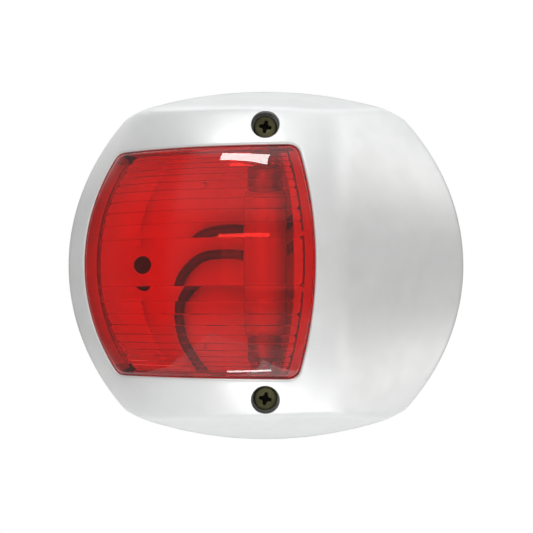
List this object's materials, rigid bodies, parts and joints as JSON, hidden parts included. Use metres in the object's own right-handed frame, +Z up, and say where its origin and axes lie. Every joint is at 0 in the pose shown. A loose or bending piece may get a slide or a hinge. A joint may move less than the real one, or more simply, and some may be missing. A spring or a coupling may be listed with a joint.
{
  "type": "navigation side light",
  "caption": "Vertical-mount boat side light: domed white cover with a red wrap-round lens, festoon bulb on spring contacts, base plate, gasket, leads and cross-recess screws.",
  "frame": {"origin": "on the wall plane, midway between the two mounting holes", "axes": "+Y into the wall, so the light stands off towards -Y; +Z up; +X to the right as seen from in front"},
  "size_m": [0.0984, 0.0385, 0.087],
  "materials": {
    "cover_white": "satin moulded white plastic with a very fine grain",
    "base_white": "matte moulded white plastic",
    "lens_red": "clear red moulded plastic, polished outside, with horizontal prisms inside",
    "lens_seal": "translucent pale silicone",
    "gasket_foam": "fine closed-cell foam rubber",
    "grommet_rubber": "moulded off-white rubber",
    "washer_rubber": "black sealing washer",
    "insert_brass": "turned brass",
    "rivet_brass": "headed brass rivet",
    "contact_nickel": "nickel-plated spring bronze",
    "terminal_tin": "tinned copper",
    "lead_black": "black insulated wire",
    "bulb_glass": "glass frosted on the inside",
    "bulb_cap": "nickel-plated brass cap",
    "filament": "dark tungsten wire",
    "screw_bronze": "dull olive bronze with a darker rim"
  },
  "bodies": {
    "base_assembly": {"mounting_gasket": "gasket_foam", "base": "base_white", "threaded_inserts": "insert_brass", "wire_grommet": "grommet_rubber", "contact_upper_foot": "contact_nickel", "contact_lower_foot": "contact_nickel", "contact_rivets": "rivet_brass", "terminal_upper": "terminal_tin", "terminal_lower": "terminal_tin", "lead_upper": "lead_black", "lead_lower": "lead_black"},
    "leaf_upper": {"contact_upper_leaf": "contact_nickel"},
    "leaf_lower": {"contact_lower_leaf": "contact_nickel"},
    "bulb": {"bulb_glass": "bulb_glass", "bulb_cap_upper": "bulb_cap", "bulb_cap_lower": "bulb_cap", "bulb_filament": "filament", "bulb_filament_wires": "filament"},
    "cover_assembly": {"cover": "cover_white", "lens": "lens_red", "lens_seal": "lens_seal"},
    "washer_upper": {"screw_washer_upper": "washer_rubber"},
    "turning_screw_upper": {"screw_upper": "screw_bronze"},
    "washer_lower": {"screw_washer_lower": "washer_rubber"},
    "turning_screw_lower": {"screw_lower": "screw_bronze"}
  },
  "joints": [
    {"name": "cover_lift", "type": "slide", "parent": "base_assembly", "child": "cover_assembly", "axis": [0, -1, 0], "range_m": [0, 0.06]},
    {"name": "screw_upper_travel", "type": "slide", "parent": "cover_assembly", "child": "washer_upper", "axis": [0, -1, 0], "range_m": [0, 0.0103]},
    {"name": "screw_upper_turn", "type": "hinge", "parent": "washer_upper", "child": "turning_screw_upper", "pos_m": [0, -0.02, 0.032], "axis": [0, -1, 0], "range_deg": [0, 4680]},
    {"name": "screw_lower_travel", "type": "slide", "parent": "cover_assembly", "child": "washer_lower", "axis": [0, -1, 0], "range_m": [0, 0.0103]},
    {"name": "screw_lower_turn", "type": "hinge", "parent": "washer_lower", "child": "turning_screw_lower", "pos_m": [0, -0.02, -0.032], "axis": [0, -1, 0], "range_deg": [0, 4680]},
    {"name": "bulb_pull", "type": "slide", "parent": "base_assembly", "child": "bulb", "axis": [0, -1, 0], "range_m": [0, 0.012]},
    {"name": "contact_upper_flex", "type": "hinge", "parent": "base_assembly", "child": "leaf_upper", "pos_m": [0, -0.00532, 0.0206], "axis": [-1, 0, 0], "range_deg": [0, 8], "stiffness_Nm_per_rad": 0.3},
    {"name": "contact_lower_flex", "type": "hinge", "parent": "base_assembly", "child": "leaf_lower", "pos_m": [0, -0.00532, -0.0206], "axis": [1, 0, 0], "range_deg": [0, 8], "stiffness_Nm_per_rad": 0.3}
  ],
  "couplings": [
    {"joint": "screw_upper_turn", "follows": "screw_upper_travel", "rad_per_m": 7915.8},
    {"joint": "screw_lower_turn", "follows": "screw_lower_travel", "rad_per_m": 7915.8}
  ]
}
